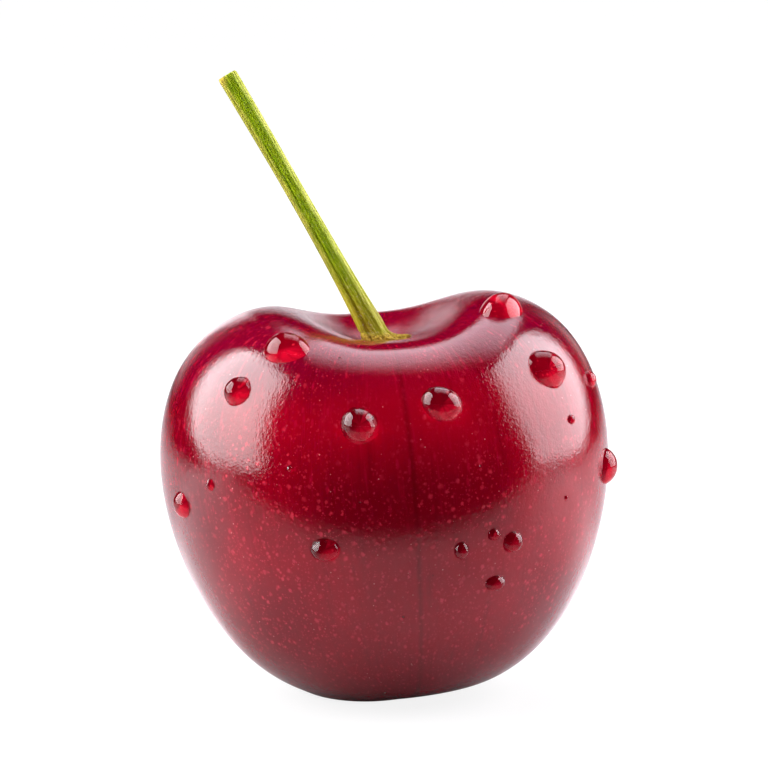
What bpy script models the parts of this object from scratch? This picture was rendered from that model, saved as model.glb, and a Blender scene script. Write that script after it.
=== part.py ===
"""A fresh sweet cherry on its stalk, wet with a few drops of water.

Metres, +Z up. The origin is the centre of the small flat spot that the fruit stands on. The fruit's
seam runs down its front, which faces -Y.
"""

import math

import bmesh
import bpy
from mathutils import Matrix, Vector

MM = 0.001

# Fruit: an ellipsoid that is fuller towards its ends, with a hollow at each end.
HALF_WIDTH = 12.97 * MM
HALF_DEPTH = 11.9 * MM
HALF_HEIGHT = 12.22 * MM
WIDEST_RISE = 1.58 * MM  # the widest ring's height above the fruit's middle
FULLNESS = (0.047, 0.110, 0.029, 0.158)  # extra girth, as a series in the height from -1 to 1

# The dip between the two shoulders, which runs from front to back.
DIP_DEPTH = 3.03 * MM
DIP_HALF_WIDTH = 4.61 * MM
DIP_HALF_LENGTH = 8.3 * MM
DIP_STEEPNESS = 2.53
DIP_X = 0.55 * MM

# The stalk's hollow at the bottom of the dip, and the hollow under the fruit.
STALK_HOLLOW_DEPTH = 0.7 * MM
STALK_HOLLOW_RADIUS = 1.81 * MM
BASE_HOLLOW_DEPTH = 1.8 * MM
BASE_HOLLOW_RADIUS = 2.85 * MM
BASE_HOLLOW_X = 0.26 * MM

# How the fruit stands.
LEAN = math.radians(4.7)  # its top goes towards -X
TURN = math.radians(8.1)  # its seam goes towards +X
MIDDLE = Vector((0.91, 0.0, 11.67)) * MM
FLAT_SPOT_RADIUS = 2.3 * MM

# Stalk: a smooth curve from the hollow's floor to the cut end, leaning towards -X.
STALK_FOOT = Vector((0.52, -0.15, 20.4)) * MM
STALK_LOWER_HANDLE = Vector((-2.36, -0.15, 25.74)) * MM
STALK_UPPER_HANDLE = Vector((-5.28, 0.15, 30.86)) * MM
STALK_TIP = Vector((-8.33, 0.75, 35.94)) * MM
STALK_RADIUS = 0.515 * MM
TIP_SWELL = 0.06 * MM
TAPER = 0.34 * MM  # extra radius at the foot, fading over TAPER_LENGTH
TAPER_LENGTH = 3.2 * MM
FLARE = 0.27 * MM  # extra radius of the collar, fading over FLARE_LENGTH
FLARE_LENGTH = 0.35 * MM
LIP = 0.35 * MM  # how much further the collar reaches on its +X side
RIB_COUNT = 9
RIB_HEIGHT = 0.05 * MM
RIB_LENGTH = 4.0 * MM  # the ribs fade over this length from the foot
SEAT_GAP = 0.3 * MM  # between the stalk's foot and the fruit

# Water drops: longitude and latitude in degrees, then width, length and height in mm, and the turn
# of the oval in degrees. Longitude 0 is the seam, and longitudes grow towards +X.
DROPS = {
    "drop_left_shoulder": (-38.8, 51.8, 2.8, 2.3, 0.95, 0.0),
    "drop_left_cheek": (-50.0, 34.4, 1.8, 1.8, 0.75, 0.0),
    "drop_front_left": (-12.5, 24.0, 2.2, 2.2, 1.00, 0.0),
    "drop_front_right": (10.0, 29.2, 2.5, 2.1, 0.95, -35.0),
    "drop_right_shoulder": (58.0, 59.0, 3.0, 2.4, 0.95, 0.0),
    "drop_right_cheek": (47.4, 31.4, 2.7, 2.35, 1.00, -30.0),
    "drop_right_rim": (70.5, 22.8, 1.1, 1.1, 0.40, 0.0),
    "drop_right_side": (72.0, -3.2, 2.0, 2.15, 0.70, 0.0),
    "bead_right": (50.2, 14.2, 0.6, 0.6, 0.25, 0.0),
    "drop_belly_right": (26.4, -14.9, 1.35, 1.35, 0.60, 0.0),
    "drop_belly_upper": (20.5, -11.9, 0.8, 0.75, 0.36, 0.0),
    "drop_belly_middle": (11.4, -14.9, 0.95, 1.1, 0.48, 0.0),
    "drop_belly_lower": (22.0, -25.4, 1.35, 1.0, 0.50, 0.0),
    "drop_belly_left": (-24.0, -11.5, 1.8, 1.45, 0.70, 0.0),
    "drop_left_side": (-71.8, -1.5, 1.7, 1.6, 0.50, 0.0),
    "bead_left": (-56.7, 5.5, 0.6, 0.75, 0.30, 0.0),
}
DROP_GAP = 0.05 * MM  # the drops are at most 1 mm high, so they lie closer to the skin than the stalk

FRUIT_SEGMENTS, FRUIT_RINGS = 68, 46
STALK_SEGMENTS, STALK_RINGS = 36, 26
DROP_SEGMENTS, DROP_RINGS = 14, 8


def smooth(low, high, value):
    """Rises smoothly from 0 at low to 1 at high."""
    t = min(max((value - low) / (high - low), 0.0), 1.0)
    return t * t * (3.0 - 2.0 * t)


def bump(x, y, radius):
    return math.exp(-(x * x + y * y) / radius**2)


def skin_of_upright_fruit(across, back, up):
    """The skin's point for a unit direction, in the fruit's own frame, where its axis is upright."""
    girth = 1.0 + sum(term * up**power for power, term in enumerate(FULLNESS, start=1))
    x = HALF_WIDTH * across * girth
    y = HALF_DEPTH * back * girth
    z = HALF_HEIGHT * up + WIDEST_RISE * (1.0 - up * up)
    from_dip = x - DIP_X
    dip = DIP_DEPTH * math.exp(
        -abs(from_dip / DIP_HALF_WIDTH) ** DIP_STEEPNESS - (y / DIP_HALF_LENGTH) ** 2
    )
    stalk_hollow = STALK_HOLLOW_DEPTH * bump(from_dip, y, STALK_HOLLOW_RADIUS)
    z -= smooth(0.0, 0.6, up) * (dip + stalk_hollow)
    base_hollow = BASE_HOLLOW_DEPTH * bump(x - BASE_HOLLOW_X, y, BASE_HOLLOW_RADIUS)
    z += smooth(0.2, 0.8, -up) * base_hollow
    return Vector((x, y, z))


def fruit_pose():
    return Matrix.Translation(MIDDLE) @ Matrix.Rotation(-LEAN, 4, "Y") @ Matrix.Rotation(TURN, 4, "Z")


def skin(across, back, up):
    """The skin's point for a unit direction in the fruit's own frame, as it stands on its flat spot."""
    point = fruit_pose() @ skin_of_upright_fruit(across, back, up)
    if point.z < 2.0 * MM:
        lift = smooth(1.0, 2.0, math.hypot(point.x, point.y) / FLAT_SPOT_RADIUS)
        point.z = max(0.0, point.z * lift)
    return point


def skin_at(longitude, latitude):
    """The skin's point at these angles, in radians."""
    return skin(
        math.cos(latitude) * math.sin(longitude),
        -math.cos(latitude) * math.cos(longitude),
        math.sin(latitude),
    )


def floor_of_hollow(x, y):
    """The skin's height under a point of the stalk's hollow."""
    across, back = 0.0, 0.0
    for _ in range(12):
        up = math.sqrt(1.0 - across * across - back * back)
        point = skin(across, back, up)
        across += (x - point.x) / HALF_WIDTH * 0.7
        back += (y - point.y) / HALF_DEPTH * 0.7
    return point.z


def fruit_mesh():
    """A ball whose points are moved out to the skin, in the fruit's own frame."""
    bm = bmesh.new()
    bmesh.ops.create_uvsphere(
        bm, u_segments=FRUIT_SEGMENTS, v_segments=FRUIT_RINGS, radius=1.0
    )
    into_fruit = fruit_pose().inverted()
    for vertex in bm.verts:
        vertex.co = into_fruit @ skin(*vertex.co.normalized())
    return finished_mesh(bm, "fruit")


def stalk_centre(share):
    """The point of the stalk's centre line at this share of its length, and the line's direction."""
    rest = 1.0 - share
    point = (
        STALK_FOOT * rest**3
        + STALK_LOWER_HANDLE * (3.0 * rest**2 * share)
        + STALK_UPPER_HANDLE * (3.0 * rest * share**2)
        + STALK_TIP * share**3
    )
    direction = (
        (STALK_LOWER_HANDLE - STALK_FOOT) * rest**2
        + (STALK_UPPER_HANDLE - STALK_LOWER_HANDLE) * (2.0 * rest * share)
        + (STALK_TIP - STALK_UPPER_HANDLE) * share**2
    )
    return point, direction.normalized()


def stalk_radius(height, angle):
    """The stalk's radius at a height above its foot, with its ribs and the collar's lip."""
    radius = STALK_RADIUS + TIP_SWELL * smooth(10.0 * MM, 18.0 * MM, height)
    radius += TAPER * math.exp(-height / TAPER_LENGTH)
    collar = math.exp(-height / FLARE_LENGTH)
    radius += collar * (FLARE * (0.5 + 0.5 * math.cos(angle)) + LIP * max(0.0, math.cos(angle)) ** 2)
    ribs = math.cos(RIB_COUNT * angle + 0.6)
    return radius + RIB_HEIGHT * ribs * math.exp(-height / RIB_LENGTH)


def stalk_mesh():
    """A cylinder with loop cuts, whose rings are moved to their places along the centre line."""
    bm = bmesh.new()
    bmesh.ops.create_cone(
        bm,
        cap_ends=True,
        cap_tris=True,
        segments=STALK_SEGMENTS,
        radius1=1.0,
        radius2=1.0,
        depth=1.0,
    )
    sides = [edge for edge in bm.edges if abs(edge.verts[0].co.z - edge.verts[1].co.z) > 0.5]
    bmesh.ops.subdivide_edges(bm, edges=sides, cuts=STALK_RINGS, use_grid_fill=True)
    length = (STALK_TIP - STALK_FOOT).length
    for vertex in bm.verts:
        share = (vertex.co.z + 0.5) ** 1.6  # the rings lie closer together near the foot
        reach = math.hypot(vertex.co.x, vertex.co.y)
        angle = math.atan2(vertex.co.y, vertex.co.x)
        centre, direction = stalk_centre(share)
        height = share * length
        # The foot lies level on the hollow's floor, and the stalk above it is cut square.
        normal = Vector((0.0, 0.0, 1.0)).lerp(direction, smooth(0.0, 1.5 * MM, height)).normalized()
        right = (Vector((1.0, 0.0, 0.0)) - normal * normal.x).normalized()
        back = normal.cross(right)
        radius = stalk_radius(height, angle) * reach
        if share > 0.999:
            radius *= 0.9
        point = centre + (right * math.cos(angle) + back * math.sin(angle)) * radius
        near_floor = 1.0 - smooth(0.3 * MM, 1.4 * MM, height)
        if near_floor > 0.0:
            lowest = floor_of_hollow(point.x, point.y) + SEAT_GAP + 0.5 * height
            point.z += (lowest - point.z) * near_floor
        vertex.co = point - STALK_FOOT
    return finished_mesh(bm, "stalk")


def drop_pose(longitude, latitude, turn):
    """The skin's frame under a drop: x along the width, y along the length, z out of the skin."""
    step = 0.01
    middle = skin_at(longitude, latitude)
    along = skin_at(longitude + step, latitude) - skin_at(longitude - step, latitude)
    up = skin_at(longitude, latitude + step) - skin_at(longitude, latitude - step)
    outward = along.cross(up).normalized()
    right = along.normalized()
    frame = Matrix((right, outward.cross(right), outward)).transposed().to_4x4()
    return Matrix.Translation(middle) @ frame @ Matrix.Rotation(turn, 4, "Z"), along, up, step


def drop_mesh(name, longitude, latitude, width, length, height, turn):
    """A ball pressed onto the skin: its lower half lies along the skin, and its upper half is the dome."""
    pose, along, up, step = drop_pose(longitude, latitude, turn)
    per_longitude = along.length / (2.0 * step)
    per_latitude = up.length / (2.0 * step)
    outward = pose.to_3x3() @ Vector((0.0, 0.0, 1.0))
    bm = bmesh.new()
    bmesh.ops.create_uvsphere(
        bm, u_segments=DROP_SEGMENTS, v_segments=DROP_RINGS, radius=1.0
    )
    for vertex in bm.verts:
        a = vertex.co.x * width / 2.0
        b = vertex.co.y * length / 2.0
        east = a * math.cos(turn) - b * math.sin(turn)
        north = a * math.sin(turn) + b * math.cos(turn)
        foot = skin_at(longitude + east / per_longitude, latitude + north / per_latitude)
        rise = DROP_GAP + height * max(0.0, vertex.co.z)
        vertex.co = pose.inverted() @ (foot + outward * rise)
    return finished_mesh(bm, name), pose


def finished_mesh(bm, name):
    mesh = bpy.data.meshes.new(name)
    bm.normal_update()
    bm.to_mesh(mesh)
    bm.free()
    mesh.shade_smooth()
    mesh.set_sharp_from_angle(angle=math.radians(50.0))
    return mesh


def material(name, colour, roughness, transmission=0.0, ior=1.45):
    made = bpy.data.materials.new(name)
    made.use_nodes = True
    shader = made.node_tree.nodes["Principled BSDF"]
    shader.inputs["Base Color"].default_value = (*colour, 1.0)
    shader.inputs["Roughness"].default_value = roughness
    shader.inputs["Metallic"].default_value = 0.0
    shader.inputs["Transmission Weight"].default_value = transmission
    shader.inputs["IOR"].default_value = ior
    return made


def add_part(collection, root, mesh, look, pose):
    part = bpy.data.objects.new(mesh.name, mesh)
    part.data.materials.append(look)
    collection.objects.link(part)
    part.parent = root
    part.matrix_world = pose
    return part


def main():
    for old in list(bpy.data.objects):
        bpy.data.objects.remove(old, do_unlink=True)
    collection = bpy.data.collections.new("cherry")
    bpy.context.scene.collection.children.link(collection)
    root = bpy.data.objects.new("cherry_root", None)
    root.empty_display_size = 5.0 * MM
    collection.objects.link(root)

    skin_look = material("cherry_skin", (0.30, 0.002, 0.018), 0.18)
    stalk_look = material("stalk_green", (0.36, 0.42, 0.04), 0.55)
    add_part(collection, root, fruit_mesh(), skin_look, fruit_pose())
    add_part(collection, root, stalk_mesh(), stalk_look, Matrix.Translation(STALK_FOOT))
    for name, (longitude, latitude, width, length, height, turn) in DROPS.items():
        mesh, pose = drop_mesh(
            name,
            math.radians(longitude),
            math.radians(latitude),
            width * MM,
            length * MM,
            height * MM,
            math.radians(turn),
        )
        water_look = material(f"{name}_water", (1.0, 1.0, 1.0), 0.02, transmission=1.0, ior=1.33)
        add_part(collection, root, mesh, water_look, pose)


main()
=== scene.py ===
import math

import bmesh
import bpy
import numpy as np
from mathutils import Matrix, Vector

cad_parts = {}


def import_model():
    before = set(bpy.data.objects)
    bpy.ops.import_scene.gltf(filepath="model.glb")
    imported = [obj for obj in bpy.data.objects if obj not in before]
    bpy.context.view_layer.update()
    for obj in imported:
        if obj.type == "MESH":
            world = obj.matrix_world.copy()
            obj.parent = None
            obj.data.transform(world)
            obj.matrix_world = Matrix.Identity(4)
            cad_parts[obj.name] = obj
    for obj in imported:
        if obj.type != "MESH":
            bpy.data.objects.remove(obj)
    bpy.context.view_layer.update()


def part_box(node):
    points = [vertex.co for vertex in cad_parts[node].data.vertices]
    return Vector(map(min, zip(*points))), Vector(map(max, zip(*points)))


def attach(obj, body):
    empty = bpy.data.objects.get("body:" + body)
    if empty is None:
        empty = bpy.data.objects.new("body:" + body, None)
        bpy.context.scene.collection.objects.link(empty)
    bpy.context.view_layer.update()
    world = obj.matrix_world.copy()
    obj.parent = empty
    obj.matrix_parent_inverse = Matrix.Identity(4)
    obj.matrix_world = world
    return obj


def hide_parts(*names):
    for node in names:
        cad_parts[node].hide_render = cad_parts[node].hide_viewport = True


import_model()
MM = 0.001

# The fruit's shape, mm and degrees, as in the CAD model, but with a shallower hollow for the stalk.
HALF_WIDTH, HALF_DEPTH, HALF_HEIGHT, WIDEST_RISE = 12.97, 11.9, 12.22, 1.58
FULLNESS = (0.047, 0.110, 0.029, 0.158)
DIP_DEPTH, DIP_HALF_WIDTH, DIP_HALF_LENGTH, DIP_STEEPNESS, DIP_X = 3.03, 4.61, 8.3, 2.53, 0.55
STALK_HOLLOW_DEPTH, STALK_HOLLOW_RADIUS = 0.42, 1.81
BASE_HOLLOW_DEPTH, BASE_HOLLOW_RADIUS, BASE_HOLLOW_X = 1.8, 2.85, 0.26
LEAN, TURN = math.radians(4.7), math.radians(8.1)
FLAT_SPOT_RADIUS = 2.3
MIDDLE_FROM_LEFT, MIDDLE_FROM_GROUND = 13.15, 11.67
FRUIT_LOW, FRUIT_HIGH = (np.array(corner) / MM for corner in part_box("fruit"))
MIDDLE = np.array((FRUIT_LOW[0] + MIDDLE_FROM_LEFT, 0.0, FRUIT_LOW[2] + MIDDLE_FROM_GROUND))

# ---------------------------------------------------------------- the skin as a formula


def smooth(low, high, value):
    t = np.clip((value - low) / (high - low), 0.0, 1.0)
    return t * t * (3.0 - 2.0 * t)


def upright_skin(u):
    """Points of the skin in the fruit's own frame, mm, for unit directions u."""
    across, back, up = u[..., 0], u[..., 1], u[..., 2]
    girth = 1.0 + sum(term * up**power for power, term in enumerate(FULLNESS, start=1))
    x = HALF_WIDTH * across * girth
    y = HALF_DEPTH * back * girth
    z = HALF_HEIGHT * up + WIDEST_RISE * (1.0 - up * up)
    from_dip = x - DIP_X
    steep = np.abs(from_dip / DIP_HALF_WIDTH) ** DIP_STEEPNESS
    dip = DIP_DEPTH * np.exp(-steep - (y / DIP_HALF_LENGTH) ** 2)
    hollow = STALK_HOLLOW_DEPTH * np.exp(-(from_dip**2 + y**2) / STALK_HOLLOW_RADIUS**2)
    z = z - smooth(0.0, 0.6, up) * (dip + hollow)
    base = BASE_HOLLOW_DEPTH * np.exp(-((x - BASE_HOLLOW_X) ** 2 + y**2) / BASE_HOLLOW_RADIUS**2)
    z = z + smooth(0.2, 0.8, -up) * base
    return np.stack((x, y, z), axis=-1)


def rotation(angle, axis):
    return np.array(Matrix.Rotation(angle, 3, axis))


POSE = rotation(-LEAN, "Y") @ rotation(TURN, "Z")


def skin(u):
    """Points of the skin where the fruit stands, mm."""
    p = upright_skin(u) @ POSE.T + MIDDLE
    lift = smooth(1.0, 2.0, np.hypot(p[..., 0], p[..., 1]) / FLAT_SPOT_RADIUS)
    pressed = np.maximum(0.0, p[..., 2] * lift)
    p[..., 2] = np.where(p[..., 2] < 2.0, pressed, p[..., 2])
    return p


def direction(longitude, latitude):
    return np.stack(
        (
            np.cos(latitude) * np.sin(longitude),
            -np.cos(latitude) * np.cos(longitude),
            np.sin(latitude),
        ),
        axis=-1,
    )


def skin_at(longitude, latitude):
    return skin(direction(np.asarray(longitude, float), np.asarray(latitude, float)))


def floor_of_hollow(x, y):
    """Heights of the skin in the stalk's hollow over points (x, y), found by repeated correction."""
    steps, caution, flattest = 25, 0.7, 0.05
    across, back = np.zeros_like(x), np.zeros_like(y)
    for _ in range(steps):
        up = np.sqrt(np.maximum(flattest, 1.0 - across**2 - back**2))
        p = skin(np.stack((across, back, up), axis=-1))
        across = across + (x - p[..., 0]) / HALF_WIDTH * caution
        back = back + (y - p[..., 1]) / HALF_DEPTH * caution
    return p[..., 2]


# ---------------------------------------------------------------- nodes


class Graph:
    """Makes the nodes of a new material or world; values and sockets can be mixed as inputs."""

    # The colour sockets of a Mix node, by number, because their names repeat.
    COLOUR_A, COLOUR_B, MIXED_COLOUR = 6, 7, 2

    def __init__(self, name, kind="materials"):
        self.owner = getattr(bpy.data, kind).new(name)
        self.owner.use_nodes = True
        self.tree = self.owner.node_tree
        self.tree.nodes.clear()

    def put(self, socket, value):
        if isinstance(value, bpy.types.NodeSocket):
            self.tree.links.new(value, socket)
        elif isinstance(value, tuple) and len(value) == 3 and socket.type == "RGBA":
            socket.default_value = (*value, 1.0)
        else:
            socket.default_value = value

    def node(self, kind, inputs=(), **settings):
        made = self.tree.nodes.new(kind)
        for key, value in settings.items():
            setattr(made, key, value)
        for key, value in dict(inputs).items():
            self.put(made.inputs[key], value)
        return made

    def math(self, operation, a, b=0.0, c=0.0):
        made = self.node("ShaderNodeMath", operation=operation)
        for socket, value in zip(made.inputs, (a, b, c)):
            self.put(socket, value)
        return made.outputs[0]

    def chain(self, operation, values):
        result = values[0]
        for value in values[1:]:
            result = self.math(operation, result, value)
        return result

    def plus(self, *values):
        return self.chain("ADD", values)

    def times(self, *values):
        return self.chain("MULTIPLY", values)

    def size(self, value):
        return self.math("ABSOLUTE", value)

    def vector(self, operation, a, b=(0.0, 0.0, 0.0)):
        made = self.node("ShaderNodeVectorMath", operation=operation)
        self.put(made.inputs[0], a)
        self.put(made.inputs[1], b)
        return made.outputs["Value"] if operation == "LENGTH" else made.outputs[0]

    def shift(self, vector, by):
        return self.vector("ADD", vector, by)

    def ramp(self, value, low, high, to=(0.0, 1.0), smooth_step=True):
        made = self.node(
            "ShaderNodeMapRange",
            {"Value": value, "From Min": low, "From Max": high, "To Min": to[0], "To Max": to[1]},
            interpolation_type="SMOOTHSTEP" if smooth_step else "LINEAR",
        )
        return made.outputs[0]

    def mix(self, factor, a, b):
        made = self.node("ShaderNodeMix", data_type="RGBA", clamp_factor=True)
        self.put(made.inputs["Factor"], factor)
        self.put(made.inputs[self.COLOUR_A], a)
        self.put(made.inputs[self.COLOUR_B], b)
        return made.outputs[self.MIXED_COLOUR]

    def noise(self, vector, scale, detail=2.0, roughness=0.5):
        inputs = {"Vector": vector, "Scale": scale, "Detail": detail, "Roughness": roughness}
        return self.node("ShaderNodeTexNoise", inputs).outputs["Fac"]

    def voronoi(self, vector, scale):
        """The distance to the nearest cell's centre, and that cell's three random numbers."""
        made = self.node("ShaderNodeTexVoronoi", {"Vector": vector, "Scale": scale})
        return made.outputs["Distance"], self.split(made.outputs["Color"])

    def split(self, vector):
        return self.node("ShaderNodeSeparateXYZ", {"Vector": vector}).outputs

    def join(self, x, y, z):
        return self.node("ShaderNodeCombineXYZ", {"X": x, "Y": y, "Z": z}).outputs[0]

    def attribute(self, name):
        return self.node("ShaderNodeAttribute", attribute_name=name).outputs["Fac"]

    def bump(self, height, distance, normal=None):
        made = self.node("ShaderNodeBump", {"Height": height, "Distance": distance})
        if normal is not None:
            self.put(made.inputs["Normal"], normal)
        return made.outputs[0]

    def shader(self, **inputs):
        named = {key.replace("_", " "): value for key, value in inputs.items()}
        return self.end(self.node("ShaderNodeBsdfPrincipled", named))

    def blend(self, factor, first, second):
        made = self.node("ShaderNodeMixShader", {0: factor})
        self.tree.links.new(first.outputs[0], made.inputs[1])
        self.tree.links.new(second.outputs[0], made.inputs[2])
        return made

    def end(self, shader, kind="ShaderNodeOutputMaterial"):
        self.tree.links.new(shader.outputs[0], self.node(kind).inputs["Surface"])
        return self.owner

    def local_mm(self):
        """The point in the object's own frame, mm."""
        coordinates = self.node("ShaderNodeTexCoord").outputs["Object"]
        return self.vector("MULTIPLY", coordinates, (1.0 / MM, 1.0 / MM, 1.0 / MM))

    def from_axis(self, x, y):
        return self.math("SQRT", self.plus(self.times(x, x), self.times(y, y)))


# ---------------------------------------------------------------- materials

# The skin's colours, linear.
WINE, RED = (0.100, 0.0002, 0.0045), (0.385, 0.0004, 0.0120)
# This line holds a painted shade for the top and a painted pink highlight round the stalk.
SHADED_TOP_WINE, PINK_HIGHLIGHT = (0.10, 0.0003, 0.0115), (0.21, 0.052, 0.068)
RED_STREAK, DARK_STREAK = (0.46, 0.003, 0.032), (0.11, 0.0001, 0.003)
DOT_RED, DASH_RED, SPECK_PINK = (0.60, 0.022, 0.048), (0.46, 0.004, 0.028), (0.85, 0.24, 0.25)
SEAM_WINE, PIT_BROWN = (0.09, 0.0001, 0.0025), (0.05, 0.0004, 0.002)
# Depths of the skin's relief, in metres.
PEEL_DEPTH, GRAIN_DEPTH, BROAD_DEPTH, PIT_DEPTH = 0.000012, 0.0000085, 0.00002, 0.00003
# Lengths on the skin for an angle of one radian, round the fruit and up it, in mm.
ROUND_RADIUS, UP_RADIUS = 12.5, 12.0

# Lenticels: scale, the range of the clusters' noise, least and most size, and weight.
LENTICELS = (
    (1.55, 0.32, 0.58, 0.06, 0.22, 0.75),
    (2.3, 0.33, 0.60, 0.04, 0.24, 0.75),
    (3.4, 0.24, 0.54, 0.02, 0.24, 0.65),
    (5.0, 0.22, 0.54, 0.04, 0.26, 0.5),
)


def ground_colour(g, p, x, z):
    """Wine red with painted shade: darker on the cheeks, where the softboxes light them, brighter towards
    the seam, and darkest round the top.
    """
    patches = g.noise(p, 0.22, 3.0, 0.55)
    # Painted shade: the cheeks, where the softboxes light the skin most, are darkened, and the right side,
    # under the weaker softbox, is a little brightened.
    cheek = g.times(g.ramp(g.size(x), 1.0, 10.5), g.ramp(z, -6.0, 2.0, (0.4, 1.0)))
    pale = g.plus(g.times(g.ramp(patches, 0.3, 0.7), 0.25), g.times(cheek, -0.70))
    pale = g.plus(pale, g.math("MULTIPLY_ADD", x, 0.008, 0.9))
    # Down the middle, painted shade: a darker belt just below the widest ring, painted floor light under
    # it, and darker again towards the bottom.
    belt_light_and_shade = g.plus(g.ramp(z, 1.6, 6.2, (0.34, 1.0)), g.ramp(z, 0.2, -1.8, (0.0, 0.28)))
    belt_light_and_shade = g.times(belt_light_and_shade, g.ramp(z, -10.0, -4.0, (0.5, 1.0)))
    # To the sides, the painted shade deepens towards the bottom instead.
    sides = g.ramp(z, -6.5, 1.0, (0.25, 1.1))
    aside = g.ramp(g.size(x), 4.5, 8.0)
    spread = g.plus(belt_light_and_shade, g.times(aside, g.math("SUBTRACT", sides, belt_light_and_shade)))
    # Painted shade at the rims, deepest at the left rim, where the left softbox falls strongest.
    painted_shade_left, painted_shade_right = g.ramp(x, -9.5, -12.3, (1.0, 0.1)), g.ramp(x, 9.5, 13.0, (1.0, 0.4))
    colour = g.mix(g.times(pale, spread, painted_shade_left, painted_shade_right), WINE, RED)
    # Painted shade round the top and the stalk's hollow.
    return g.mix(g.times(g.ramp(z, 6.4, 9.6), 0.8), colour, SHADED_TOP_WINE)


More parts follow.
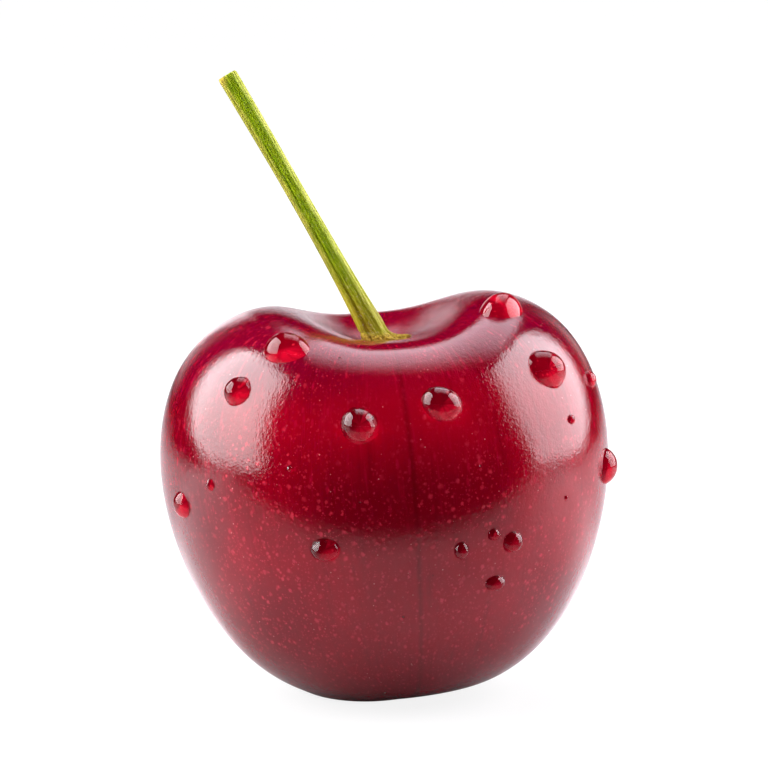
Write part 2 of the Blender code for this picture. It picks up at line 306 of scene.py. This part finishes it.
def skin_material():
    g = Graph("cherry_skin")
    upright = Matrix(POSE.tolist()).inverted().to_euler("XYZ")
    turned = g.node("ShaderNodeMapping", {"Vector": g.local_mm(), "Rotation": tuple(upright)})
    p = turned.outputs[0]
    x, y, z = g.split(p)
    out = g.from_axis(x, y)
    safe = g.math("MAXIMUM", out, 0.05)
    lon = g.math("ARCTAN2", x, g.times(y, -1.0))
    lat = g.math("ARCTAN2", z, safe)
    # Round the fruit by longitude, and up it by latitude, in about mm.
    cx = g.times(g.math("DIVIDE", x, safe), ROUND_RADIUS)
    cy = g.times(g.math("DIVIDE", y, safe), ROUND_RADIUS)
    cz = g.times(lat, UP_RADIUS)
    round_mm = g.join(cx, cy, cz)
    streak_mm = g.join(cx, cy, g.times(cz, 0.09))
    dash_mm = g.join(cx, cy, g.times(cz, 0.4))
    peel_mm = g.join(cx, cy, g.times(cz, 0.9))

    colour = ground_colour(g, p, x, z)
    # Painted highlight: a pale pink glint close round the stalk, where the top light shines in the hollow.
    level = g.vector("MULTIPLY", g.vector("SUBTRACT", p, (DIP_X, 0.0, 0.0)), (1.0, 1.0, 0.0))
    from_stalk = g.vector("LENGTH", level)
    mottled = g.ramp(g.noise(p, 4.0, 3.0, 0.7), 0.35, 0.65, (0.45, 1.0))
    painted_highlight = g.times(g.ramp(from_stalk, 2.9, 1.9), g.ramp(z, 4.0, 7.0), mottled)
    colour = g.mix(g.times(painted_highlight, 0.95), colour, PINK_HIGHLIGHT)
    # Meridian streaks, strongest above the middle.
    streaks = g.ramp(g.noise(streak_mm, 4.2, 4.0, 0.7), 0.52, 0.74)
    streaks = g.times(streaks, g.ramp(z, -5.0, 7.0, (0.15, 1.0)))
    colour = g.mix(g.times(streaks, 0.42), colour, RED_STREAK)
    dark = g.ramp(g.noise(g.shift(streak_mm, (5.0, 9.0, 2.0)), 1.9, 3.0, 0.6), 0.5, 0.75)
    colour = g.mix(g.times(dark, 0.3), colour, DARK_STREAK)

    # Soft red dots crowded in clusters, dashes high up, and pale specks between.
    coarse = g.node("ShaderNodeTexNoise", {"Vector": round_mm, "Scale": 4.5, "Detail": 2.0})
    wobble = coarse.outputs["Color"]
    ragged = g.shift(round_mm, g.vector("MULTIPLY", wobble, (0.22, 0.22, 0.22)))
    low_left = g.plus(g.times(x, -0.007), g.times(z, -0.020))
    clusters = g.plus(g.noise(p, 0.5, 3.0, 0.6), 0.04, low_left)
    thinner = g.times(g.ramp(x, -8.5, -12.3, (1.0, 0.35)), g.ramp(z, -10.0, -4.0, (0.45, 1.0)))
    for scale, low, high, least, most, weight in LENTICELS:
        distance, cell = g.voronoi(g.shift(ragged, (scale, 2.0 * scale, 3.0)), scale)
        size = g.ramp(cell[0], 0.0, 1.0, (least, most), smooth_step=False)
        dot = g.ramp(distance, g.plus(size, 0.13), g.times(size, 0.5))
        tone = g.ramp(cell[1], 0.0, 1.0, (0.35, 1.0), smooth_step=False)
        dot = g.times(dot, tone, g.ramp(clusters, low, high), thinner)
        colour = g.mix(g.times(dot, weight), colour, DOT_RED)
    rough_dash = g.shift(dash_mm, g.vector("MULTIPLY", wobble, (0.12, 0.12, 0.12)))
    distance, cell = g.voronoi(rough_dash, 2.1)
    size = g.times(cell[1], 0.16)
    dashes = g.ramp(distance, g.plus(size, 0.12), size)
    colour = g.mix(g.times(dashes, g.ramp(z, -3.0, 5.0, (0.0, 0.45))), colour, DASH_RED)
    distance, cell = g.voronoi(g.shift(round_mm, (3.1, 7.7, 1.3)), 2.1)
    speck = g.times(g.ramp(distance, 0.11, 0.03), g.ramp(cell[2], 0.45, 0.9))
    colour = g.mix(g.times(speck, 0.6), colour, SPECK_PINK)

    # The seam: a soft dark line down the front.
    off_seam = g.size(g.times(lon, out))
    wander = g.times(g.noise(streak_mm, 0.5, 2.0), 0.2)
    seam = g.times(g.ramp(g.plus(off_seam, wander), 0.36, 0.06), g.ramp(z, 11.0, 8.0))
    colour = g.mix(g.times(seam, 0.4), colour, SEAM_WINE)

    # Few dark pits.
    distance, _ = g.voronoi(g.shift(p, (1.7, 0.4, 2.6)), 0.42)
    pit = g.ramp(distance, 0.045, 0.025)
    colour = g.mix(g.times(pit, 0.8), colour, PIT_BROWN)

    normal = g.bump(g.noise(peel_mm, 4.2, 3.0, 0.55), PEEL_DEPTH)
    normal = g.bump(g.noise(g.shift(peel_mm, (3.0, 1.0, 6.0)), 9.0), GRAIN_DEPTH, normal)
    normal = g.bump(g.noise(p, 0.55), BROAD_DEPTH, normal)
    normal = g.bump(g.times(pit, -1.0), PIT_DEPTH, normal)
    rough = g.ramp(g.noise(p, 0.9, 3.0, 0.6), 0.3, 0.7, (0.04, 0.06))
    return g.shader(
        Base_Color=colour,
        Roughness=g.plus(rough, g.times(pit, 0.3)),
        IOR=1.47,
        Normal=normal,
        Subsurface_Weight=0.25,
        Subsurface_Radius=(1.0, 0.12, 0.08),
        Subsurface_Scale=3.0 * MM,
    )


# The stalk's colours, linear, mostly in pairs that noise mixes.
GREEN = (0.15, 0.26, 0.0003), (0.31, 0.42, 0.0015)
GOLD = (0.26, 0.25, 0.004), (0.50, 0.44, 0.035)
# The two flanks' pairs are painted sheen, paler where the softboxes light the stalk's sides; the left pair
# is kept duller, since the left softbox is the stronger.
RIGHT_FLANK_SHEEN = (0.32, 0.37, 0.02), (0.52, 0.53, 0.12)
LEFT_FLANK_SHEEN = (0.15, 0.17, 0.004), (0.31, 0.28, 0.035)
RUST = (0.17, 0.08, 0.006), (0.60, 0.40, 0.05)
PALE_FLECK, DARK_FLECK, CUT_TAN = (0.66, 0.56, 0.26), (0.10, 0.09, 0.004), (0.50, 0.33, 0.05)
# Depths of the stalk's relief, in metres.
FURROW_DEPTH, FLECK_DEPTH, CRUMB_DEPTH = 0.00010, 0.00004, 0.00012


def stalk_material():
    g = Graph("stalk_green")
    along, side, front = g.attribute("along"), g.attribute("side"), g.attribute("front")
    across = g.times(side, 0.6), g.times(front, 0.6)
    fibre = g.join(*across, g.times(along, 0.10))
    grain = g.join(*across, g.times(along, 0.45))
    low = g.ramp(along, 6.0, 1.0)
    green = g.mix(g.ramp(g.noise(fibre, 9.0, 4.0, 0.65), 0.35, 0.65), *GREEN)
    gold = g.mix(g.ramp(g.noise(fibre, 10.0, 4.0, 0.65), 0.35, 0.65), *GOLD)
    # Greenest down the middle; the flanks are paler with painted sheen from the softboxes, and the left
    # flank tans towards the foot.
    middle = g.ramp(g.size(g.math("SUBTRACT", side, 0.12)), 0.85, 0.25)
    fine = g.ramp(g.noise(fibre, 9.0), 0.35, 0.65)
    left, right = g.mix(fine, *LEFT_FLANK_SHEEN), g.mix(fine, *RIGHT_FLANK_SHEEN)
    colour = g.mix(middle, g.mix(g.ramp(side, -0.3, 0.3), left, right), green)
    colour = g.mix(g.times(low, g.ramp(side, 0.9, -0.5, (0.45, 1.0))), colour, gold)
    flecks = g.ramp(g.noise(grain, 11.0, 3.0, 0.7), 0.55, 0.68)
    colour = g.mix(g.times(flecks, g.plus(g.times(low, 0.45), 0.22)), colour, PALE_FLECK)
    dark = g.ramp(g.noise(g.shift(grain, (4.0, 2.0, 7.0)), 9.0, 3.0, 0.7), 0.58, 0.72)
    colour = g.mix(g.times(dark, 0.5), colour, DARK_FLECK)
    # The rusty collar at the foot, and the tanned cut end.
    collar = g.ramp(along, 1.0, 0.5)
    crumbs = g.noise(g.local_mm(), 5.5, 4.0, 0.7)
    colour = g.mix(g.times(collar, 0.9), colour, g.mix(g.ramp(crumbs, 0.38, 0.60), *RUST))
    cut = g.times(g.ramp(along, 17.2, 17.9), g.ramp(side, 0.2, -0.7, (0.1, 0.6)))
    colour = g.mix(cut, colour, CUT_TAN)
    normal = g.bump(g.noise(fibre, 7.0, 3.0, 0.6), FURROW_DEPTH)
    normal = g.bump(g.noise(grain, 13.0, 3.0, 0.7), FLECK_DEPTH, normal)
    normal = g.bump(g.times(crumbs, collar), CRUMB_DEPTH, normal)
    rough = g.ramp(flecks, 0.0, 1.0, (0.45, 0.7))
    return g.shader(Base_Color=colour, Roughness=rough, Specular_IOR_Level=0.06, Normal=normal)


def water_material():
    """Water tinted by the skin under it, since light that leaves a drop has met red skin."""
    pinker, paler, ripple = (0.96, 0.50, 0.54), (1.0, 0.60, 0.64), 0.000004
    g = Graph("water")
    tone = g.noise(g.local_mm(), 0.9)
    return g.shader(
        Base_Color=g.mix(g.ramp(tone, 0.3, 0.7), pinker, paler),
        Roughness=g.ramp(tone, 0.3, 0.7, (0.02, 0.035)),
        Normal=g.bump(tone, ripple),
        IOR=1.36,
        Specular_IOR_Level=1.0,
        Transmission_Weight=1.0,
    )


def wet_material():
    """The skin seen through water: lit in the lower part of a drop, dark in the upper part."""
    shaded, lit, dot_pink, relief = (0.13, 0.0003, 0.006), (0.36, 0.003, 0.020), (0.8, 0.03, 0.06), 0.00001
    g = Graph("cherry_skin_wet")
    p = g.local_mm()
    tone = g.noise(p, 1.3, 3.0, 0.6)
    lighter = g.ramp(g.math("MULTIPLY_ADD", tone, 0.6, g.attribute("lower")), -0.2, 1.1)
    distance, _ = g.voronoi(p, 2.6)
    dot = g.times(g.ramp(distance, 0.25, 0.08), 0.35)
    return g.shader(
        Base_Color=g.mix(dot, g.mix(lighter, shaded, lit), dot_pink),
        Roughness=g.ramp(tone, 0.3, 0.7, (0.5, 0.6)),
        Specular_IOR_Level=0.0,
        Normal=g.bump(g.noise(p, 3.0), relief),
    )


# ---------------------------------------------------------------- pieces


def mesh_object(name, bm, material, place=(0.0, 0.0, 0.0)):
    """A new object from a bmesh in metres, standing at a place in mm."""
    mesh = bpy.data.meshes.new(name)
    bm.to_mesh(mesh)
    bm.free()
    mesh.shade_smooth()
    mesh.materials.append(material)
    made = bpy.data.objects.new(name, mesh)
    bpy.context.scene.collection.objects.link(made)
    made.matrix_world = Matrix.Translation(Vector(place) * MM)
    return made


def add_attribute(made, name, values):
    attribute = made.data.attributes.new(name, "FLOAT", "POINT")
    attribute.data.foreach_set("value", values.astype(np.float32))


def read_points(vertices):
    return np.array([v.co[:] for v in vertices])


def write_points(vertices, points):
    for vertex, point in zip(vertices, points):
        vertex.co = point


def fruit():
    bm = bmesh.new()
    bmesh.ops.create_uvsphere(bm, u_segments=384, v_segments=256, radius=1.0)
    u = read_points(bm.verts)
    u /= np.linalg.norm(u, axis=1, keepdims=True)
    write_points(bm.verts, (skin(u) - MIDDLE) * MM)
    made = mesh_object("cherry_fruit", bm, skin_material(), MIDDLE)
    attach(made, "root")
    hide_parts("fruit")


# The stalk's centre line, mm, from its foot to its cut end, as the corners of a Bezier curve.
STALK_LINE = np.array(
    ((0.52, -0.15, 20.4), (-2.36, -0.15, 25.74), (-5.28, 0.15, 30.86), (-8.33, 0.75, 35.94))
)
STALK_SEGMENTS, STALK_RINGS = 180, 220
# Radii, and the heights over which they fade, mm.
STALK_RADIUS, END_SWELL, FOOT_SWELL, FOOT_HEIGHT = 0.515, 0.06, 0.34, 3.2
RIB_DEPTH, RIB_HEIGHT, FINE_RIB_DEPTH = 0.075, 4.5, 0.010
COLLAR_HEIGHT, WORN_EDGE = 0.62, 0.22


def stalk_line(share):
    """Points of the centre line, and the direction it runs in, at shares of its way up."""
    s = np.asarray(share)[..., None]
    r = 1.0 - s
    a, b, c, d = STALK_LINE
    point = a * r**3 + b * 3 * r * r * s + c * 3 * r * s * s + d * s**3
    ahead = (b - a) * r * r + (c - b) * 2 * r * s + (d - c) * s * s
    return point, ahead / np.linalg.norm(ahead, axis=-1, keepdims=True)


def stalk_radius(height, length, angle):
    radius = STALK_RADIUS + END_SWELL * smooth(10.0, 18.0, height)
    radius = radius + FOOT_SWELL * np.exp(-height / FOOT_HEIGHT)
    ribs = 0.62 * np.cos(9 * angle + 0.6) + 0.38 * np.cos(5 * angle - 1.1)
    radius = radius + RIB_DEPTH * ribs * np.exp(-height / RIB_HEIGHT)
    radius = radius + FINE_RIB_DEPTH * np.cos(13 * angle + 1.0)
    # The collar is frayed all round, and has a tongue on the right.
    frayed = 1.0 + 0.22 * np.sin(7 * angle + 1.3) + 0.16 * np.sin(17 * angle)
    frayed = frayed + 0.10 * np.sin(31 * angle + 2.0)
    tongue = 0.30 * np.maximum(0, np.cos(angle - 0.1)) ** 3
    lip = 0.18 + 0.20 * (0.5 + 0.5 * np.cos(angle)) + tongue
    radius = radius + np.exp(-((height / COLLAR_HEIGHT) ** 3)) * lip * frayed
    # The cut end has a worn, rounded edge.
    from_end = np.clip((length - height) / WORN_EDGE, 0.0, 1.0)
    return radius * (0.86 + 0.14 * np.sqrt(1.0 - (1.0 - from_end) ** 2))


def stalk():
    bm = bmesh.new()
    bmesh.ops.create_cone(
        bm, cap_ends=True, cap_tris=True, segments=STALK_SEGMENTS, radius1=1.0, radius2=1.0, depth=1.0
    )
    sides = [e for e in bm.edges if abs(e.verts[0].co.z - e.verts[1].co.z) > 0.5]
    bmesh.ops.subdivide_edges(bm, edges=sides, cuts=STALK_RINGS, use_grid_fill=True)
    unit = read_points(bm.verts)
    even = np.clip(unit[:, 2] + 0.5, 0.0, 1.0)
    share = 1.0 - (1.0 - even**1.6) ** 1.3  # rings crowd towards both ends
    reach = np.hypot(unit[:, 0], unit[:, 1])
    angle = np.arctan2(unit[:, 1], unit[:, 0])
    centre, ahead = stalk_line(share)
    length = np.linalg.norm(STALK_LINE[3] - STALK_LINE[0])
    height = share * length
    # Rings lie level at the foot and turn square to the centre line above it.
    turned = smooth(0.0, 1.5, height)[:, None]
    normal = np.array((0.0, 0.0, 1.0)) * (1 - turned) + ahead * turned
    normal /= np.linalg.norm(normal, axis=1, keepdims=True)
    right = np.array((1.0, 0.0, 0.0)) - normal * normal[:, :1]
    right /= np.linalg.norm(right, axis=1, keepdims=True)
    back = np.cross(normal, right)
    spoke = right * np.cos(angle)[:, None] + back * np.sin(angle)[:, None]
    point = centre + spoke * (stalk_radius(height, length, angle) * reach)[:, None]
    # The foot follows the floor of the hollow, 0.04 mm under the skin.
    near = 1.0 - smooth(0.3, 1.4, height)
    low = floor_of_hollow(point[:, 0], point[:, 1]) - 0.04 + height * 0.8
    point[:, 2] = point[:, 2] * (1 - near) + low * near
    write_points(bm.verts, point * MM)
    made = mesh_object("cherry_stalk", bm, stalk_material())
    add_attribute(made, "along", height)
    add_attribute(made, "side", np.cos(angle))
    add_attribute(made, "front", -np.sin(angle))
    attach(made, "root")
    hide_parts("stalk")


# Longitude and latitude in degrees, then width, length and height in mm, and the oval's turn.
DROPS = {
    "drop_left_shoulder": (-38.8, 51.8, 2.8, 2.3, 0.95, 0.0),
    "drop_left_cheek": (-50.0, 34.4, 1.8, 1.8, 0.75, 0.0),
    "drop_front_left": (-12.5, 24.0, 2.2, 2.2, 1.0, 0.0),
    "drop_front_right": (10.0, 29.2, 2.5, 2.1, 0.95, -35.0),
    "drop_right_shoulder": (58.0, 59.0, 3.0, 2.4, 0.95, 0.0),
    "drop_right_cheek": (47.4, 31.4, 2.7, 2.35, 1.0, -30.0),
    "drop_right_rim": (70.5, 22.8, 1.1, 1.1, 0.40, 0.0),
    "drop_right_side": (72.0, -3.2, 2.0, 2.15, 0.70, 0.0),
    "bead_right": (50.2, 14.2, 0.6, 0.6, 0.25, 0.0),
    "drop_belly_right": (26.4, -14.9, 1.35, 1.35, 0.60, 0.0),
    "drop_belly_upper": (20.5, -11.9, 0.8, 0.75, 0.36, 0.0),
    "drop_belly_middle": (11.4, -14.9, 0.95, 1.1, 0.48, 0.0),
    "drop_belly_lower": (22.0, -25.4, 1.35, 1.0, 0.50, 0.0),
    "drop_belly_left": (-24.0, -11.5, 1.8, 1.45, 0.70, 0.0),
    "drop_left_side": (-71.8, -1.5, 1.7, 1.6, 0.50, 0.0),
    "bead_left": (-56.7, 5.5, 0.6, 0.75, 0.30, 0.0),
}
# Specks of water too small to be CAD nodes.
SPECKS = {
    "speck_left": (-31.0, 10.8, 0.42, 0.42, 0.26, 0.0),
    "speck_right": (45.0, -6.6, 0.3, 0.35, 0.15, 0.0),
}
CONTACT_ANGLE = math.radians(74.0)
SINK = 0.03  # how far a drop's foot is under the skin, mm


def footprint(lon, lat, width, length, height, turn):
    """A function from places in the oval, and heights over it in mm, to points; and its centre."""
    lon, lat, turn = (math.radians(v) for v in (lon, lat, turn))
    step = 0.01
    along = skin_at(lon + step, lat) - skin_at(lon - step, lat)
    up = skin_at(lon, lat + step) - skin_at(lon, lat - step)
    outward = np.cross(along, up)
    outward /= np.linalg.norm(outward)

    def place(a, b, rise):
        east = a * width / 2 * math.cos(turn) - b * length / 2 * math.sin(turn)
        north = a * width / 2 * math.sin(turn) + b * length / 2 * math.cos(turn)
        foot = skin_at(
            lon + east * 2 * step / np.linalg.norm(along),
            lat + north * 2 * step / np.linalg.norm(up),
        )
        return foot + outward * rise[:, None]

    return place, skin_at(lon, lat)


def drop(name, shape, material):
    height = shape[4]
    place, centre = footprint(*shape)
    bm = bmesh.new()
    bmesh.ops.create_uvsphere(bm, u_segments=64, v_segments=48, radius=1.0)
    unit = read_points(bm.verts)
    reach = np.hypot(unit[:, 0], unit[:, 1])
    flat = math.cos(CONTACT_ANGLE)
    dome = (np.sqrt(1.0 - (reach * math.sin(CONTACT_ANGLE)) ** 2) - flat) / (1.0 - flat)
    rise = np.where(unit[:, 2] > -1e-6, height * dome, 0.0) - SINK
    point = place(unit[:, 0], unit[:, 1], rise)
    write_points(bm.verts, (point - centre) * MM)
    made = mesh_object(name + "_water", bm, material, centre)
    made.visible_shadow = False  # light goes through clear water
    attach(made, "root")
    if name in DROPS:
        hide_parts(name)


def wet_skin(shapes, material):
    """The skin as it looks through water, a thin lens under each drop, without a gloss of its own."""
    bm = bmesh.new()
    lower = []
    for shape in shapes:
        place, _ = footprint(*shape)
        made = bmesh.ops.create_uvsphere(bm, u_segments=48, v_segments=12, radius=1.0)["verts"]
        unit = read_points(made)
        thickness = np.where(unit[:, 2] > 0, 0.012, 0.05)  # over and under the skin, mm
        rise = thickness * unit[:, 2] - 0.002
        point = place(unit[:, 0] * 0.97, unit[:, 1] * 0.97, rise)
        write_points(made, point * MM)
        turn = math.radians(shape[5])
        lower.append(-unit[:, 0] * math.sin(turn) - unit[:, 1] * math.cos(turn))
    made = mesh_object("cherry_wet_skin", bm, material)
    add_attribute(made, "lower", np.concatenate(lower))
    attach(made, "root")


# ---------------------------------------------------------------- studio, all lengths in mm

LEFT_POWER, RIGHT_POWER, TOP_POWER, BEHIND_POWER = 10.4, 8.4, 3.4, 1.1
FLOOR_RADIUS, FLAG_REACH, FLAG_HEIGHT = 1500.0, 400.0, 0.3
FLOOR_GREY = 0.70  # the floor's brightness away from the part that the camera sees


def flat_mesh(corners):
    bm = bmesh.new()
    bm.faces.new([bm.verts.new(Vector(corner) * MM) for corner in corners])
    return bm


def panel(name, low, high, strength, tint):
    """A lamp panel that only light and reflections see; strength is a function of g, x, y, z."""
    low, high = Vector(low), Vector(high)
    centre, half = (low + high) / 2, (high - low) / 2
    flat = min(range(3), key=lambda axis: half[axis])
    one, two = (axis for axis in range(3) if axis != flat)
    corners = []
    for along, across in ((-1, -1), (1, -1), (1, 1), (-1, 1)):
        corner = Vector((0.0, 0.0, 0.0))
        corner[one], corner[two] = along * half[one], across * half[two]
        corners.append(corner)
    g = Graph(name)
    x, y, z = g.split(g.shift(g.local_mm(), tuple(centre)))
    glow = g.node("ShaderNodeEmission", {"Color": tint, "Strength": strength(g, x, y, z)})
    made = mesh_object(name, flat_mesh(corners), g.end(glow), centre)
    made.visible_camera = False


def box_mask(g, across, up, front, back, low, high):
    """1 inside a soft-edged box whose upper corners are rounded, and 0 outside."""
    softness, roundness = 0.08, 4.0
    half = g.times(g.math("SUBTRACT", back, front), 0.5)
    middle = g.times(g.plus(back, front), 0.5)
    side = g.math("DIVIDE", g.size(g.math("SUBTRACT", across, middle)), half)
    centre, reach = (low + high) / 2, (high - low) / 2
    rise = g.math("DIVIDE", g.math("MAXIMUM", g.math("SUBTRACT", up, centre), 0.0), reach)
    corner = g.plus(g.math("POWER", side, roundness), g.math("POWER", rise, roundness))
    upper = g.ramp(g.math("POWER", corner, 1.0 / roundness), 1.0, 1.0 - softness)
    return g.times(upper, g.ramp(up, low, low + 8.0))


def tucked(g, z, reach, height):
    """How far a softbox's back edge comes forward near the floor."""
    return g.times(g.math("EXPONENT", g.math("DIVIDE", z, -height)), reach)


def left_strength(g, x, y, z):
    front = g.math("MULTIPLY_ADD", z, 0.05, -78.0)
    back = g.math("MINIMUM", g.math("MULTIPLY_ADD", z, 0.48, 46.0), 114.0)
    back = g.math("SUBTRACT", back, tucked(g, z, 70.0, 14.0))
    mask = box_mask(g, y, z, front, back, 2.0, 180.0)
    fade = g.ramp(y, -78.0, -40.0, (0.86, 1.0))
    low = g.ramp(z, 2.0, 70.0, (0.72, 1.0))
    return g.times(mask, fade, low, LEFT_POWER)


def right_strength(g, x, y, z):
    front = g.math("MAXIMUM", g.math("MULTIPLY_ADD", z, -0.45, -27.0), -51.0)
    back = g.math("MINIMUM", g.math("MULTIPLY_ADD", z, 0.25, 108.0), 134.0)
    back = g.math("SUBTRACT", back, tucked(g, z, 68.0, 23.0))
    mask = box_mask(g, y, z, front, back, 2.0, 184.0)
    fade = g.ramp(y, -56.0, -12.0, (0.68, 1.0))
    low = g.ramp(z, 2.0, 100.0, (0.72, 1.0))
    far = g.ramp(y, 50.0, 137.0, (1.0, 0.72))
    return g.times(mask, fade, low, far, RIGHT_POWER)


def top_strength(g, x, y, z):
    rise, fall = g.ramp(y, -26.0, 46.0), g.ramp(y, 178.0, 138.0)
    slope = g.math("MAXIMUM", g.math("MULTIPLY_ADD", y, 0.2, -17.0), 0.0)
    left = g.ramp(g.math("SUBTRACT", x, slope), -38.0, -24.0)
    return g.times(rise, fall, left, g.ramp(x, 78.0, 64.0), TOP_POWER)


def behind_strength(g, x, y, z):
    """A band low on the left and in the middle, and a patch high on the right."""
    top = g.ramp(x, -29.0, -37.0, (42.0, 68.0))
    under_top = g.ramp(g.math("SUBTRACT", top, z), 0.0, 8.0)
    brighter_left = g.ramp(x, -26.0, -36.0, (1.0, 1.7))
    left, right = g.ramp(x, -62.0, -54.0), g.ramp(x, 42.0, 32.0)
    band = g.times(under_top, brighter_left, left, right, BEHIND_POWER)
    patch = g.times(g.ramp(x, 26.0, 34.0), g.ramp(z, 78.0, 88.0), g.ramp(z, 122.0, 112.0))
    return g.plus(band, patch)


def floor():
    bm = bmesh.new()
    bmesh.ops.create_circle(bm, cap_ends=True, segments=96, radius=FLOOR_RADIUS * MM)
    g = Graph("floor_white")
    x, y, _ = g.split(g.local_mm())
    out = g.from_axis(x, y)
    # What light and reflections meet: a grey with a painted shadow under the fruit and round it, darker in
    # front and behind, and paler far out.
    near, far = g.ramp(out, 2.0, 18.0, (0.30, 0.66)), g.ramp(out, 60.0, 400.0, (0.0, 0.25))
    front, behind = g.ramp(y, -6.0, -20.0, (1.0, 0.62)), g.ramp(y, 16.0, 34.0, (1.0, 0.62))
    albedo = g.times(g.plus(near, far), front, behind)
    matte = g.node("ShaderNodeBsdfDiffuse", {"Color": g.join(albedo, albedo, albedo)})
    # What is seen directly: white behind the cherry, and pale grey to the sides and in front.
    spread = g.times(g.math("MAXIMUM", y, 0.0), 0.12)
    side = g.math("SUBTRACT", g.size(x), spread)
    away = g.math("MAXIMUM", side, g.times(y, -1.0))
    paleness = g.ramp(away, 26.0, 100.0, (1.0, FLOOR_GREY))
    # A faint painted shadow round the fruit, as seen directly.
    paleness = g.times(g.ramp(out, 10.0, 45.0, (0.86, 1.0)), paleness)
    white = g.node("ShaderNodeEmission", {"Color": (1.0, 1.0, 1.0), "Strength": paleness})
    share = g.ramp(away, 26.0, 100.0, (0.12, 0.0))
    lit = g.node("ShaderNodeBsdfDiffuse", {"Color": g.join(share, share, share)})
    seen = g.node("ShaderNodeAddShader")
    g.tree.links.new(white.outputs[0], seen.inputs[0])
    g.tree.links.new(lit.outputs[0], seen.inputs[1])
    direct = g.node("ShaderNodeLightPath").outputs["Is Camera Ray"]
    mesh_object("floor", bm, g.end(g.blend(direct, matte, seen)))


def flag():
    """A dark sheet lying in front, seen only in reflections: painted shade that darkens the floor's
    reflection in front of the fruit.
    """
    far = FLAG_REACH
    bm = flat_mesh(((-far, -far, 0), (far, -far, 0), (far, 0, 0), (-far, 0, 0)))
    g = Graph("flag_front")
    _, y, _ = g.split(g.local_mm())
    black = g.node("ShaderNodeEmission", {"Strength": 0.0})
    clear = g.node("ShaderNodeBsdfTransparent")
    sheet = g.blend(g.ramp(y, -25.0, -36.0), clear, black)
    made = mesh_object("flag_front", bm, g.end(sheet), (0.0, 0.0, FLAG_HEIGHT))
    made.visible_camera = False
    made.visible_diffuse = False
    made.visible_shadow = False


def world():
    """A glow low behind the cherry, and a plain pale backdrop past the floor's edge."""
    g = Graph("studio", "worlds")
    x, y, z = g.split(g.node("ShaderNodeTexCoord").outputs["Generated"])
    sides = g.ramp(g.size(x), 0.19, 0.30, (0.12, 0.75))
    glow = g.times(g.ramp(y, 0.84, 0.98), g.ramp(z, 0.42, 0.05), sides)
    away = g.math("MAXIMUM", g.size(x), g.times(y, -1.0))
    direct = g.node("ShaderNodeLightPath").outputs["Is Camera Ray"]
    seen = g.times(direct, g.ramp(away, 0.2, 0.5, (1.0, FLOOR_GREY)))
    strength = g.math("MAXIMUM", glow, seen)
    shader = g.node("ShaderNodeBackground", {"Color": (1.0, 1.0, 1.0), "Strength": strength})
    bpy.context.scene.world = g.end(shader, "ShaderNodeOutputWorld")


def camera():
    elevation, distance, frame_width, sensor = math.radians(9.2), 320.0, 44.544, 36.0
    nearest, furthest = 0.01, 10.0  # what the camera can see, in metres
    from_fruit = Vector((-0.02, 1.04, 6.29))  # what it aims at, from the middle of the fruit's box
    right = Vector((1.0, 0.0, 0.0))
    back = Vector((0.0, -math.cos(elevation), math.sin(elevation)))
    up = Vector((0.0, math.sin(elevation), math.cos(elevation)))
    aim = Vector((FRUIT_LOW + FRUIT_HIGH) / 2) + from_fruit
    data = bpy.data.cameras.new("camera")
    data.sensor_width = sensor
    data.lens = sensor * distance / frame_width
    data.clip_start, data.clip_end = nearest, furthest
    made = bpy.data.objects.new("camera", data)
    facing = Matrix((right, up, back)).transposed().to_4x4()
    made.matrix_world = Matrix.Translation((aim + back * distance) * MM) @ facing
    bpy.context.scene.collection.objects.link(made)
    bpy.context.scene.camera = made


camera()
fruit()
stalk()
water = water_material()
for name, shape in {**DROPS, **SPECKS}.items():
    drop(name, shape, water)
wet_skin([*DROPS.values(), *SPECKS.values()], wet_material())
floor()
panel("softbox_left", (-115, -80, 1), (-115, 118, 181), left_strength, (1.0, 0.985, 1.01))
panel("softbox_right", (115, -60, 1), (115, 138, 185), right_strength, (1.0, 0.97, 1.03))
panel("top_light", (-42, -26, 135), (78, 180, 135), top_strength, (1.0, 0.96, 1.08))
panel("light_behind", (-70, 250, 1), (52, 250, 124), behind_strength, (1.0, 0.97, 1.02))
flag()
world()
bpy.context.scene.view_settings.view_transform = "Standard"
